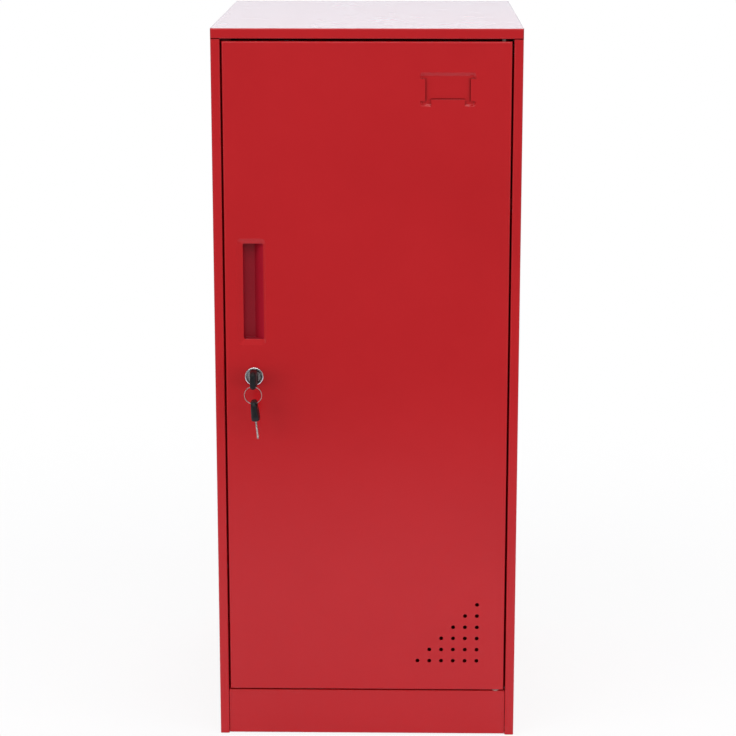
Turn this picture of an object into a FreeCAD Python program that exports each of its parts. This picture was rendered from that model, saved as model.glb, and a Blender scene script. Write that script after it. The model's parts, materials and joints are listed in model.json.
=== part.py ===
"""Steel clothing locker: folded sheet carcass, pivot-hung door, cam lock with keys, hat shelf and coat rail.

Millimetres, +Z up, the door faces -Y. The origin is on the floor, in the middle of the back's lower edge.
"""
import FreeCAD
import Part
import math
import os
from FreeCAD import Vector

# Carcass
cabinet_width = 380.0
cabinet_depth = 450.0
cabinet_height = 910.0
sheet = 0.8
bend_inside = 1.2
stile_width = 11.5
lid_front_height = 12.6
lid_lip_depth = 20.0
lid_side_flange = 20.0
lid_flange_short = 15.5
lid_seam = 0.6
plinth_height = 59.5
plinth_setback = 2.0
plinth_side_gap = 0.4
plinth_foot = 15.0
plinth_overlap = 14.0
floor_flange = 18.0
fold_clearance = 0.5
wall_hole_radius = 4.25
wall_hole_spacing = 240.0
wall_hole_drop = 70.0

# Door pan and its stop
door_depth = 18.0
door_side_gap = 2.2
door_top_gap = 3.0
door_bottom_gap = 2.0
door_lip = 12.0
stop_gap = 1.6
stop_width = 12.0
bumper_radius = 4.0
bumper_clearance = 0.3
bumper_inset = 90.0
stiffener_width = 60.0
stiffener_web = 36.0
stiffener_depth = 12.0
stiffener_end_gap = 12.0

# Vent holes, a right-angled triangle in the lower hinge corner
vent_radius = 2.45
vent_pitch = 15.2
vent_rows = 6
vent_from_hinge_edge = 35.1
vent_from_bottom = 39.7

# Card holder pressed into the door's upper hinge corner
card_width = 68.5
card_height = 41.0
card_depth = 2.4
card_slope = 2.2
card_top_slope = 4.4
card_corner = 3.0
card_from_hinge_edge = 43.3
card_from_top = 37.3
side_tab_width = 6.9
side_tab_height = 27.5
side_tab_rise = 6.1
bottom_tab_width = 41.4
bottom_tab_height = 8.4
tab_slit = 0.45

# Recessed handle in line with the lock
handle_width = 25.2
handle_height = 121.0
handle_corner = 2.0
handle_from_bottom = 523.5
dish_depth = 2.2
dish_corner = 5.0
dish_over = 6.5
dish_under = 7.4
dish_lock_side = 7.6
dish_hinge_side = 2.7
cup_depth = 17.0
cup_undercut = 4.0
cup_floor = 13.8
cup_rim = 3.0

# Pivot hinge
pivot_from_edge = 10.0
pivot_setback = 7.2
pivot_radius = 2.4
pivot_head_radius = 4.5
pivot_head_height = 2.0
journal_radius = 1.75
journal_length = 5.5
axial_gap = 0.3
running_clearance = 0.05
seat_clearance = 0.1
bush_wall = 1.2
bush_flange_radius = 4.2
bush_flange_height = 0.8
bush_length = 6.0
bracket_sheet = 2.0
bracket_reach = 14.0
bracket_leg = 40.0

# Cam lock
lock_from_edge = 35.3
lock_from_bottom = 415.9
bezel_radius = 11.7
bezel_height = 3.0
bezel_round = 1.2
barrel_radius = 9.5
barrel_flats = 16.6
barrel_length = 22.0
plug_radius = 7.4
plug_recess = 0.6
plug_overrun = 0.2
washer_radius = 13.0
washer_thickness = 0.8
nut_flats = 23.0
nut_thickness = 4.0
cam_thickness = 2.0
cam_width = 15.0
cam_reach = 36.0
tail_square = 7.0
tail_short = 0.3
cam_screw_radius = 2.0
cam_screw_length = 4.0
cam_screw_head_radius = 4.2
cam_screw_head_height = 2.2
screw_hole_spare = 0.4

# Keys and key ring
key_thickness = 2.0
key_width = 8.0
key_length = 25.0
key_tip = 2.5
key_cut_pitch = 3.2
key_cut_depths = (0.9, 1.5, 0.6, 1.3, 0.8, 1.1)
key_insert = 10.0
key_clearance = 0.3
head_length = 25.0
head_width = 23.0
head_narrowing = 6.0
head_shoulder = 7.0
head_base_thickness = 10.5
head_end_thickness = 7.0
head_corner_ratio = 0.45
head_rim_round = 1.2
head_gap = 3.5
slot_length = 17.6
slot_width = 4.5
slot_edge = 2.0
ring_radius = 10.8
ring_wire = 0.7
ring_clearance = 0.35
spare_tilt = 6.0

# Hat shelf and coat rail
shelf_height = 700.0
shelf_flange = 15.0
shelf_side_gap = 1.0
shelf_front_gap = 6.0
shelf_back_gap = 0.5
clip_sheet = 1.2
clip_width = 20.0
clip_leg = 20.0
clip_inset = 45.0
rail_radius = 9.0
rail_wall = 1.2
rail_drop = 45.0
rail_end_gap = 0.3
socket_flange_radius = 16.0
socket_flange = 2.0
socket_wall = 2.0
socket_length = 12.0

# Places worked out from the sizes above
bend_outside = bend_inside + sheet
half_width = cabinet_width / 2
inner_half = half_width - sheet
front = -cabinet_depth
stile_inner = half_width - stile_width
lid_bottom = cabinet_height - lid_front_height
stile_top = lid_bottom - lid_seam
door_half = stile_inner - door_side_gap
door_top = lid_bottom - door_top_gap
door_bottom = plinth_height + door_bottom_gap
door_back = front + door_depth
skin_back = front + sheet
stop_front = door_back + stop_gap
stop_back = stop_front + sheet
floor_top = plinth_height - sheet
floor_front = stop_back + fold_clearance
pivot_x = door_half - pivot_from_edge
pivot_y = front + pivot_setback
bush_radius = journal_radius + running_clearance + bush_wall
lock_x = lock_from_edge - door_half
lock_z = door_bottom + lock_from_bottom
barrel_end = front + barrel_length
plug_front = front - bezel_height + plug_recess
plug_end = barrel_end + plug_overrun
handle_left = lock_x - handle_width / 2
handle_right = lock_x + handle_width / 2
handle_low = door_bottom + handle_from_bottom - handle_height / 2
handle_high = handle_low + handle_height
cup_front = skin_back + dish_depth
head_front = front - bezel_height - head_gap
slot_from_end = slot_edge + slot_width / 2
slot_middle = slot_from_end - head_length
rail_y = front / 2
rail_z = shelf_height - rail_drop

X = Vector(1, 0, 0)
Y = Vector(0, 1, 0)
Z = Vector(0, 0, 1)


def box(x0, x1, y0, y1, z0, z1):
    return Part.makeBox(x1 - x0, y1 - y0, z1 - z0, Vector(x0, y0, z0))


def cylinder(radius, start, axis, length):
    return Part.makeCylinder(radius, length, start, axis)


def rod_z(radius, x, y, z0, z1):
    return cylinder(radius, Vector(x, y, z0), Z, z1 - z0)


def rod_y(radius, x, y0, y1, z):
    return cylinder(radius, Vector(x, y0, z), Y, y1 - y0)


def in_xy(u, v):
    return Vector(u, v, 0)


def in_yz(u, v):
    return Vector(0, u, v)


def in_xz(u, v):
    return Vector(u, 0, v)


def unit(start, end):
    length = math.hypot(end[0] - start[0], end[1] - start[1])
    return ((end[0] - start[0]) / length, (end[1] - start[1]) / length)


def turn(before, after):
    """Signed angle between two directions, positive to the left."""
    cross = before[0] * after[1] - before[1] * after[0]
    dot = before[0] * after[0] + before[1] * after[1]
    return math.atan2(cross, dot)


def offset_path(points, distance):
    """The same open path, moved sideways to its left."""
    runs = [unit(a, b) for a, b in zip(points, points[1:])]
    moved = []
    for i, (u, v) in enumerate(points):
        before = runs[max(i - 1, 0)]
        after = runs[min(i, len(runs) - 1)]
        half = turn(before, after) / 2
        lean = math.tan(half) * distance
        new_u = u - before[1] * distance - before[0] * lean
        new_v = v + before[0] * distance - before[1] * lean
        moved.append((new_u, new_v))
    return moved


def rounded_edges(points, radii, place):
    """Lines and arcs along an open path, with the given radius at each inner corner."""
    edges = []
    here = points[0]
    for i in range(1, len(points) - 1):
        before = unit(points[i - 1], points[i])
        after = unit(points[i], points[i + 1])
        angle = turn(before, after)
        reach = radii[i - 1] * math.tan(abs(angle) / 2)
        start = (points[i][0] - before[0] * reach, points[i][1] - before[1] * reach)
        end = (points[i][0] + after[0] * reach, points[i][1] + after[1] * reach)
        side = math.copysign(radii[i - 1], angle)
        centre = (start[0] - before[1] * side, start[1] + before[0] * side)
        out = unit(centre, points[i])
        middle = (centre[0] + out[0] * radii[i - 1], centre[1] + out[1] * radii[i - 1])
        edges.append(Part.makeLine(place(*here), place(*start)))
        edges.append(Part.Arc(place(*start), place(*middle), place(*end)).toShape())
        here = end
    edges.append(Part.makeLine(place(*here), place(*points[-1])))
    return edges


def folded(points, thickness, place, start, length):
    """A folded sheet: its outer face follows the path, its thickness lies to the path's left."""
    inner = offset_path(points, thickness)
    outer_radii = []
    inner_radii = []
    for a, b, c in zip(points, points[1:], points[2:]):
        left = turn(unit(a, b), unit(b, c)) > 0
        outer_radii.append(bend_inside + thickness if left else bend_inside)
        inner_radii.append(bend_inside if left else bend_inside + thickness)
    edges = rounded_edges(points, outer_radii, place)
    edges.append(Part.makeLine(place(*points[-1]), place(*inner[-1])))
    edges += rounded_edges(inner[::-1], inner_radii[::-1], place)
    edges.append(Part.makeLine(place(*inner[0]), place(*points[0])))
    face = Part.Face(Part.Wire(edges))
    face.translate(start)
    return face.extrude(length)


def rounded_rectangle(x0, x1, z0, z1, radius, y):
    """A closed outline in the plane of the door, with round corners."""
    centre_x = (x0 + x1) / 2
    path = [(centre_x, z0), (x1, z0), (x1, z1), (x0, z1), (x0, z0), (centre_x, z0)]
    edges = rounded_edges(path, [radius] * 4, in_xz)
    wire = Part.Wire(edges)
    wire.translate(Vector(0, y, 0))
    return wire


def plate(outline, length):
    return Part.Face(outline).extrude(length)


def frustum(outer, inner):
    return Part.makeLoft([outer, inner], True, True)


def stadium(length, width, thickness):
    """A slot cutter through X, round at both Z ends, centred on the origin."""
    radius = width / 2
    half = length / 2 - radius
    middle = box(-thickness / 2, thickness / 2, -radius, radius, -half, half)
    ends = [cylinder(radius, Vector(-thickness / 2, 0, z), X, thickness) for z in (-half, half)]
    return middle.fuse(ends).removeSplitter()


def edges_at(shape, axis, value):
    """The edges that lie in the plane where the coordinate on the axis has the value."""
    found = []
    for edge in shape.Edges:
        low = getattr(edge.BoundBox, axis + "Min")
        high = getattr(edge.BoundBox, axis + "Max")
        if abs(low - value) < 1e-6 and abs(high - value) < 1e-6:
            found.append(edge)
    return found


def mirrored_x(shape):
    return shape.mirror(Vector(0, 0, 0), X)


# Carcass
def side_panel(with_stop):
    """Left side: wall, front stile, return into the cabinet and, on the lock side, the door stop."""
    path = [(-half_width, 0), (-half_width, front), (-stile_inner, front)]
    path.append((-stile_inner, stop_front if with_stop else stop_back))
    stop_end = stop_width - stile_inner
    if with_stop:
        path.append((stop_end, stop_front))
    panel = folded(path, sheet, in_xy, Vector(0, 0, 0), Z * cabinet_height)
    lid_room = box(-half_width, -inner_half, front, front + bend_outside, stile_top, cabinet_height)
    lip_room = box(-inner_half, stop_end, front, stop_back, stile_top, cabinet_height)
    panel = panel.cut(lid_room).cut(lip_room)
    plinth_room = box(-stile_inner, stop_end, stop_front - bend_outside, stop_back, 0, door_bottom)
    return panel.cut(plinth_room) if with_stop else panel


def top_panel():
    """Lid between the side walls: flat top, front flange, and a lip under it that holds the upper bush."""
    path = [(0, cabinet_height), (front, cabinet_height), (front, lid_bottom)]
    path.append((front + lid_lip_depth, lid_bottom))
    lid = folded(path, sheet, in_yz, Vector(-inner_half, 0, 0), X * 2 * inner_half)
    flange_front = stop_back + fold_clearance
    low = cabinet_height - lid_side_flange
    flange = box(-inner_half, sheet - inner_half, flange_front, -lid_flange_short, low, cabinet_height)
    lid = lid.fuse([flange, mirrored_x(flange)]).removeSplitter()
    hole = rod_z(bush_radius + seat_clearance, pivot_x, pivot_y, lid_bottom, lid_bottom + sheet)
    return lid.cut(hole)


def back_panel():
    """Flat back let in between the side walls and welded to them, with two holes for fixing it to a wall."""
    panel = box(-inner_half, inner_half, -sheet, 0, 0, cabinet_height - sheet)
    hole_z = cabinet_height - wall_hole_drop
    for x in (-wall_hole_spacing / 2, wall_hole_spacing / 2):
        panel = panel.cut(rod_y(wall_hole_radius, x, -sheet, 0, hole_z))
    return panel


def floor_panel():
    """Bottom of the compartment, folded down along both side walls."""
    low = floor_top - floor_flange
    path = [(inner_half, low), (inner_half, floor_top), (-inner_half, floor_top), (-inner_half, low)]
    length = -sheet - floor_front
    return folded(path, sheet, in_xz, Vector(0, floor_front, 0), Y * length)


def plinth():
    """Kick board between the stiles: it stands on the floor and its top lip lies on the floor panel."""
    face_y = front + plinth_setback
    path = [(floor_front + plinth_overlap, plinth_height), (face_y, plinth_height), (face_y, 0)]
    path.append((face_y + plinth_foot, 0))
    half = stile_inner - plinth_side_gap
    board = folded(path, sheet, in_yz, Vector(-half, 0, 0), X * 2 * half)
    return board.cut(rod_z(bush_radius + seat_clearance, pivot_x, pivot_y, floor_top, plinth_height))


def door_bumpers():
    """Rubber discs on the door stop."""
    x = -(stile_inner - stop_width + door_half) / 2
    thickness = stop_gap - bumper_clearance
    heights = (door_bottom + bumper_inset, door_top - bumper_inset)
    discs = [rod_y(bumper_radius, x, stop_front - thickness, stop_front, z) for z in heights]
    return Part.makeCompound(discs)


# Shelf and coat rail
shelf_half = inner_half - shelf_side_gap
shelf_front = stop_back + shelf_front_gap
shelf_back = -sheet - shelf_back_gap


def shelf():
    low = shelf_height - shelf_flange
    path = [(shelf_back, low), (shelf_back, shelf_height), (shelf_front, shelf_height), (shelf_front, low)]
    return folded(path, sheet, in_yz, Vector(-shelf_half, 0, 0), X * 2 * shelf_half)


def shelf_clips():
    """Angle clips welded to the walls under the shelf."""
    top = shelf_height - sheet
    path = [(-inner_half + clip_leg, top), (-inner_half, top), (-inner_half, top - clip_leg)]
    clips = []
    for y in (shelf_front + clip_inset, shelf_back - clip_inset):
        clip = folded(path, clip_sheet, in_xz, Vector(0, y - clip_width / 2, 0), Y * clip_width)
        clips += [clip, mirrored_x(clip)]
    return Part.makeCompound(clips)


def rail_socket():
    """Left wall socket for the coat rail."""
    wall = Vector(-inner_half, rail_y, rail_z)
    flange = cylinder(socket_flange_radius, wall, X, socket_flange)
    bore = rail_radius + seat_clearance
    collar = cylinder(bore + socket_wall, wall, X, socket_length)
    seat = cylinder(bore, wall + X * socket_flange, X, socket_length)
    return flange.fuse(collar).cut(seat).removeSplitter()


def coat_rail():
    half = inner_half - socket_flange - rail_end_gap
    start = Vector(-half, rail_y, rail_z)
    tube = cylinder(rail_radius, start, X, 2 * half)
    return tube.cut(cylinder(rail_radius - rail_wall, start, X, 2 * half))


# Door
def door_pan():
    """Front skin folded back on all four sides, with a lip round the inside."""
    outer = box(-door_half, door_half, front, door_back, door_bottom, door_top)
    outer = outer.makeFillet(bend_outside, edges_at(outer, "Y", front))
    hollow = box(sheet - door_half, door_half - sheet, skin_back, door_back - sheet,
                 door_bottom + sheet, door_top - sheet)
    hollow = hollow.makeFillet(bend_inside, edges_at(hollow, "Y", skin_back))
    window = box(door_lip - door_half, door_half - door_lip, door_back - sheet, door_back,
                 door_bottom + door_lip, door_top - door_lip)
    return outer.cut(hollow).cut(window)


def pressed_in(skin, outer, inner):
    """Press a sloped hollow into the skin: the metal moves back and keeps its thickness."""
    hollow = frustum(outer, inner)
    backing = hollow.copy()
    backing.translate(Y * sheet)
    return skin.fuse(backing).cut(hollow)


def with_handle_dish(skin):
    x0 = handle_left - dish_lock_side
    x1 = handle_right + dish_hinge_side
    rim = rounded_rectangle(x0, x1, handle_low - dish_under, handle_high + dish_over, dish_corner, front)
    mouth = rounded_rectangle(handle_left, handle_right, handle_low, handle_high, handle_corner,
                              front + dish_depth)
    opening = rounded_rectangle(handle_left, handle_right, handle_low, handle_high, handle_corner, front)
    return pressed_in(skin, rim, mouth).cut(plate(opening, Y * (dish_depth + sheet)))


def with_card_holder(skin):
    """A shallow tray with three tabs cut free and left in the plane of the skin, which hold a card."""
    x1 = door_half - card_from_hinge_edge
    x0 = x1 - card_width
    z1 = door_top - card_from_top
    z0 = z1 - card_height
    rim = rounded_rectangle(x0, x1, z0, z1, card_corner, front)
    tray = rounded_rectangle(x0 + card_slope, x1 - card_slope, z0 + card_slope, z1 - card_top_slope,
                             card_corner - card_slope / 2, front + card_depth)
    skin = pressed_in(skin, rim, tray)
    middle = (x0 + x1) / 2
    side_low = z0 + side_tab_rise
    side_high = side_low + side_tab_height
    bottom_left = middle - bottom_tab_width / 2
    bottom_right = middle + bottom_tab_width / 2
    slit_back = front + card_depth + sheet
    slits = [
        box(x0, x0 + side_tab_width + tab_slit, skin_back, slit_back, side_low, side_high),
        box(x1 - side_tab_width - tab_slit, x1, skin_back, slit_back, side_low, side_high),
        box(bottom_left, bottom_right, skin_back, slit_back, z0, z0 + bottom_tab_height + tab_slit),
    ]
    tabs = [
        box(x0, x0 + side_tab_width, front, skin_back, side_low, side_high),
        box(x1 - side_tab_width, x1, front, skin_back, side_low, side_high),
        box(bottom_left, bottom_right, front, skin_back, z0, z0 + bottom_tab_height),
    ]
    return skin.cut(slits).fuse(tabs)


def vent_cutters():
    """Rows of one, two, three and more holes from the top, lined up on the hinge side."""
    x_last = door_half - vent_from_hinge_edge
    cutters = []
    for row in range(vent_rows):
        z = door_bottom + vent_from_bottom + row * vent_pitch
        for column in range(vent_rows - row):
            cutters.append(rod_y(vent_radius, x_last - column * vent_pitch, front, skin_back, z))
    return cutters


def flatted_rod(radius, flats, y0, y1):
    """A round rod along the lock's axis with two upright flats."""
    rod = rod_y(radius, lock_x, y0, y1, lock_z)
    slab = box(lock_x - flats / 2, lock_x + flats / 2, y0, y1, lock_z - radius, lock_z + radius)
    return rod.common(slab)


def door_skin():
    skin = with_card_holder(with_handle_dish(door_pan()))
    lock_hole = flatted_rod(barrel_radius + seat_clearance, barrel_flats + 2 * seat_clearance, front,
                            skin_back)
    pin = pivot_radius + seat_clearance
    pin_holes = [
        rod_z(pin, pivot_x, pivot_y, door_top - sheet, door_top),
        rod_z(pin, pivot_x, pivot_y, door_bottom, door_bottom + sheet),
    ]
    return skin.cut(vent_cutters() + [lock_hole] + pin_holes).removeSplitter()


def door_stiffener():
    """Hat section welded up the middle of the skin."""
    foot = stiffener_width / 2
    web = stiffener_web / 2
    rear = skin_back + stiffener_depth
    path = [(-foot, skin_back), (-web, skin_back), (-web, rear), (web, rear), (web, skin_back)]
    path.append((foot, skin_back))
    low = door_bottom + sheet + stiffener_end_gap
    length = door_top - door_bottom - 2 * (sheet + stiffener_end_gap)
    return folded(path, sheet, in_xy, Vector(0, 0, low), Z * length)


def handle_cup():
    """Cup behind the handle opening: a lip to hook on the lock side, a ramp on the hinge side."""
    cup_left = handle_left - cup_undercut
    cup_back = front + cup_depth
    section = [(cup_left, cup_front), (handle_right, cup_front), (handle_left + cup_floor, cup_back)]
    section.append((cup_left, cup_back))

    def prism(points, z0, z1):
        outline = Part.makePolygon([in_xy(*p) for p in points + points[:1]])
        outline.translate(Z * z0)
        return plate(outline, Z * (z1 - z0))

    ramp = unit(section[2], section[1])
    ramp_foot = section[2][0] + sheet * (1 - ramp[0]) / -ramp[1]
    ramp_head = handle_right + sheet / -ramp[1]
    shell = [(cup_left - sheet, cup_front), (ramp_head, cup_front), (ramp_foot, cup_back + sheet)]
    shell.append((cup_left - sheet, cup_back + sheet))
    body = prism(shell, handle_low - sheet, handle_high + sheet)
    rim = box(cup_left - sheet - cup_rim, ramp_head + cup_rim, cup_front, cup_front + sheet,
              handle_low - sheet - cup_rim, handle_high + sheet + cup_rim)
    return body.fuse(rim).cut(prism(section, handle_low, handle_high)).removeSplitter()


def upper_hinge_bracket():
    """Angle welded into the door's top hinge corner, to carry the pivot pin."""
    top = door_top - sheet
    side = door_half - sheet
    path = [(side, top - bracket_leg), (side, top), (pivot_x - bracket_reach, top)]
    y0 = skin_back + bend_inside
    bracket = folded(path, bracket_sheet, in_xz, Vector(0, y0, 0), Y * (door_back - sheet - y0))
    return bracket.cut(rod_z(pivot_radius + seat_clearance, pivot_x, pivot_y, top - bracket_sheet, top))


def lower_hinge_bracket():
    return upper_hinge_bracket().mirror(Vector(0, 0, (door_top + door_bottom) / 2), Z)


def upper_pivot_pin():
    """Headed pin: shank in the door, journal in the lid's bush."""
    seat = door_top - sheet - bracket_sheet
    shoulder = lid_bottom - axial_gap
    head = rod_z(pivot_head_radius, pivot_x, pivot_y, seat - pivot_head_height, seat)
    shank = rod_z(pivot_radius, pivot_x, pivot_y, seat, shoulder)
    journal = rod_z(journal_radius, pivot_x, pivot_y, shoulder, shoulder + journal_length)
    return head.fuse([shank, journal]).removeSplitter()


def lower_pivot_pin():
    """The same pin turned over: its shoulder carries the door on the lower bush."""
    seat = door_bottom + sheet + bracket_sheet
    shoulder = plinth_height + bush_flange_height + axial_gap
    head = rod_z(pivot_head_radius, pivot_x, pivot_y, seat, seat + pivot_head_height)
    shank = rod_z(pivot_radius, pivot_x, pivot_y, shoulder, seat)
    journal = rod_z(journal_radius, pivot_x, pivot_y, shoulder - journal_length, shoulder)
    return head.fuse([shank, journal]).removeSplitter()


def hinge_bush(flange_z, body_low, body_high):
    body = rod_z(bush_radius, pivot_x, pivot_y, body_low, body_high)
    flange = rod_z(bush_flange_radius, pivot_x, pivot_y, flange_z, flange_z + bush_flange_height)
    bore = rod_z(journal_radius + running_clearance, pivot_x, pivot_y, body_low, body_high)
    return body.fuse(flange).cut(bore).removeSplitter()


def upper_hinge_bush():
    return hinge_bush(lid_bottom + sheet, lid_bottom, lid_bottom + bush_length)


def lower_hinge_bush():
    top = plinth_height + bush_flange_height
    return hinge_bush(plinth_height, top - bush_length, top)


# Lock
def lock_barrel():
    bezel = rod_y(bezel_radius, lock_x, front - bezel_height, front, lock_z)
    bezel = bezel.makeFillet(bezel_round, edges_at(bezel, "Y", front - bezel_height))
    body = flatted_rod(barrel_radius, barrel_flats, front, barrel_end)
    bore = rod_y(plug_radius + running_clearance, lock_x, front - bezel_height, barrel_end, lock_z)
    return bezel.fuse(body).cut(bore).removeSplitter()


def lock_washer():
    disc = rod_y(washer_radius, lock_x, skin_back, skin_back + washer_thickness, lock_z)
    hole = flatted_rod(barrel_radius + seat_clearance, barrel_flats + 2 * seat_clearance, skin_back,
                       skin_back + washer_thickness)
    return disc.cut(hole)


def lock_nut():
    y0 = skin_back + washer_thickness
    corner = nut_flats / math.sqrt(3)
    corners = []
    for i in range(7):
        angle = math.radians(60 * i)
        corners.append(Vector(lock_x + corner * math.cos(angle), y0, lock_z + corner * math.sin(angle)))
    hexagon = plate(Part.makePolygon(corners), Y * nut_thickness)
    return hexagon.cut(rod_y(barrel_radius + seat_clearance, lock_x, y0, y0 + nut_thickness, lock_z))


def lock_square(size, y0, y1):
    half = size / 2
    return box(lock_x - half, lock_x + half, y0, y1, lock_z - half, lock_z + half)


def lock_plug():
    """Turning core: keyway at the front, square tail and tapped hole for the cam at the back."""
    core = rod_y(plug_radius, lock_x, plug_front, plug_end, lock_z)
    tail_end = plug_end + cam_thickness - tail_short
    core = core.fuse(lock_square(tail_square, plug_end, tail_end))
    keyway_end = head_front + key_length + key_clearance
    half_x = key_thickness / 2 + key_clearance / 2
    half_z = key_width / 2 + key_clearance / 2
    keyway = box(lock_x - half_x, lock_x + half_x, plug_front, keyway_end, lock_z - half_z, lock_z + half_z)
    screw_end = plug_end + cam_thickness - cam_screw_length - screw_hole_spare
    tapped = rod_y(cam_screw_radius + running_clearance, lock_x, screw_end, tail_end, lock_z)
    return core.cut([keyway, tapped]).removeSplitter()


def lock_cam():
    """Flat finger, pointing down when unlocked."""
    y1 = plug_end + cam_thickness
    half = cam_width / 2
    finger = box(lock_x - half, lock_x + half, plug_end, y1, lock_z - cam_reach, lock_z)
    finger = finger.fuse(rod_y(half, lock_x, plug_end, y1, lock_z))
    return finger.cut(lock_square(tail_square + 2 * running_clearance, plug_end, y1)).removeSplitter()


def cam_screw():
    seat = plug_end + cam_thickness
    head = rod_y(cam_screw_head_radius, lock_x, seat, seat + cam_screw_head_height, lock_z)
    shank = rod_y(cam_screw_radius, lock_x, seat - cam_screw_length, seat, lock_z)
    return head.fuse(shank).removeSplitter()


# Keys: made lying along Y, with the blade to +Y and the head's blade end at the origin
def key_blade_shape():
    half = key_width / 2
    tip = key_length - key_tip
    outline = [(-key_insert, -half), (tip, -half), (key_length, 0), (tip, half), (-key_insert, half)]
    wire = Part.makePolygon([in_yz(*p) for p in outline + outline[:1]])
    blade = plate(wire, X * key_thickness)
    notches = []
    for i, depth in enumerate(key_cut_depths):
        y = (i + 1) * key_cut_pitch
        for side in (-1, 1):
            cut = [(y - depth, side * half), (y, side * (half - depth)), (y + depth, side * half)]
            notches.append(plate(Part.makePolygon([in_yz(*p) for p in cut + cut[:1]]), X * key_thickness))
    blade = blade.cut(notches)
    blade.translate(X * (-key_thickness / 2))
    return blade


def head_outline(share, width):
    """Upright outline of the key head at a share of its length from the blade, round above and below."""
    thickness = head_base_thickness + (head_end_thickness - head_base_thickness) * share
    corner = thickness * head_corner_ratio
    half = thickness / 2
    return rounded_rectangle(-half, half, -width / 2, width / 2, corner, -head_length * share)


def key_head_shape():
    """Grip that is thick at the blade and thinner at the ring, with sloping shoulders at both ends."""
    narrow = head_width - head_narrowing
    shoulder = head_shoulder / head_length
    outlines = [
        head_outline(0, narrow),
        head_outline(shoulder, head_width),
        head_outline(1 - shoulder, head_width),
        head_outline(1, narrow),
    ]
    head = Part.makeLoft(outlines, True, True)
    head = head.makeFillet(head_rim_round, edges_at(head, "Y", -head_length) + edges_at(head, "Y", 0))
    slot = stadium(slot_length, slot_width, head_base_thickness)
    slot.translate(Y * slot_middle)
    insert = box(-key_thickness / 2, key_thickness / 2, -key_insert, 0, -key_width / 2, key_width / 2)
    return head.cut(slot).cut(insert)


# The ring hangs in the lower end of the key's slot, and the spare key hangs from the bottom of the ring
head_taper = (head_base_thickness - head_end_thickness) / head_length
slot_thickness = head_end_thickness + head_taper * slot_from_end
ring_at_face = math.sqrt(ring_radius ** 2 - (slot_thickness / 2) ** 2)
ring_y = head_front + slot_middle
ring_z = lock_z - slot_length / 2 + ring_wire + ring_clearance - ring_at_face
ring_centre = Vector(lock_x, ring_y, ring_z)


def in_lock(shape):
    shape.translate(Vector(lock_x, head_front, lock_z))
    return shape


def on_ring(shape):
    """Hang a key by its slot from the ring's lowest point, then let it slip round the ring a little."""
    slot_top = ring_wire + ring_clearance - ring_at_face
    shape.rotate(Vector(0, 0, 0), X, -90)
    shape.translate(ring_centre + Z * (slot_top - head_length + slot_edge))
    shape.rotate(ring_centre, Y, -spare_tilt)
    return shape


def key_ring():
    return Part.makeTorus(ring_radius, ring_wire, ring_centre, Y)


nodes = {
    "left_side_panel": side_panel(True),
    "right_side_panel": mirrored_x(side_panel(False)),
    "top_panel": top_panel(),
    "back_panel": back_panel(),
    "floor_panel": floor_panel(),
    "plinth": plinth(),
    "door_bumpers": door_bumpers(),
    "shelf": shelf(),
    "shelf_clips": shelf_clips(),
    "left_rail_socket": rail_socket(),
    "right_rail_socket": mirrored_x(rail_socket()),
    "coat_rail": coat_rail(),
    "upper_hinge_bush": upper_hinge_bush(),
    "lower_hinge_bush": lower_hinge_bush(),
    "door_skin": door_skin(),
    "door_stiffener": door_stiffener(),
    "handle_cup": handle_cup(),
    "upper_hinge_bracket": upper_hinge_bracket(),
    "lower_hinge_bracket": lower_hinge_bracket(),
    "upper_pivot_pin": upper_pivot_pin(),
    "lower_pivot_pin": lower_pivot_pin(),
    "lock_barrel": lock_barrel(),
    "lock_washer": lock_washer(),
    "lock_nut": lock_nut(),
    "lock_plug": lock_plug(),
    "lock_cam": lock_cam(),
    "cam_screw": cam_screw(),
    "key_blade": in_lock(key_blade_shape()),
    "key_head": in_lock(key_head_shape()),
    "key_ring": key_ring(),
    "spare_key_blade": on_ring(key_blade_shape()),
    "spare_key_head": on_ring(key_head_shape()),
}

os.makedirs("parts", exist_ok=True)
for name, shape in nodes.items():
    if not shape.isValid():
        raise ValueError(name + " is not a valid solid")
    shape.exportStep("parts/" + name + ".step")
    print(name, len(shape.Solids), round(shape.Volume, 1))
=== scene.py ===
import json
import math
import bmesh
import bpy
from mathutils import Matrix, Vector


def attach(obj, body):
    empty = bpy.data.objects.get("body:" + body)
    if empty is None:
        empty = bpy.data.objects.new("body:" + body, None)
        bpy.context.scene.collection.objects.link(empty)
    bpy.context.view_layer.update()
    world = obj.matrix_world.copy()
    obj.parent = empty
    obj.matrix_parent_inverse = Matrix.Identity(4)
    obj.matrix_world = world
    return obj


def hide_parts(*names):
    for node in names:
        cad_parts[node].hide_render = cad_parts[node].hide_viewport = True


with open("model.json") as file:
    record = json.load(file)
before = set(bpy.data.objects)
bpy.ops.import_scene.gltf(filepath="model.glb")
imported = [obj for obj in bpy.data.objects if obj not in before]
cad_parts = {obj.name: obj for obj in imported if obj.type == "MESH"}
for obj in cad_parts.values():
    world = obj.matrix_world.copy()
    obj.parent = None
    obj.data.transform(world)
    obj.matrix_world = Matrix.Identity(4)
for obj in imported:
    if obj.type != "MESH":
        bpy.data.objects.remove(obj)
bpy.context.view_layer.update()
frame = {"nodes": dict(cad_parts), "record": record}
nodes = frame["nodes"]
scene = bpy.context.scene
scene.view_settings.view_transform = "Standard"

# Camera at the photograph's place, in metres and degrees
SENSOR_MM = 36.0
LENS_MM = 111.656
CAMERA_PLACE = (0.0504, -3.2273, 1.1468)
CAMERA_DOWN = 13.333
CAMERA_LEFT = 1.009

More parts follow.
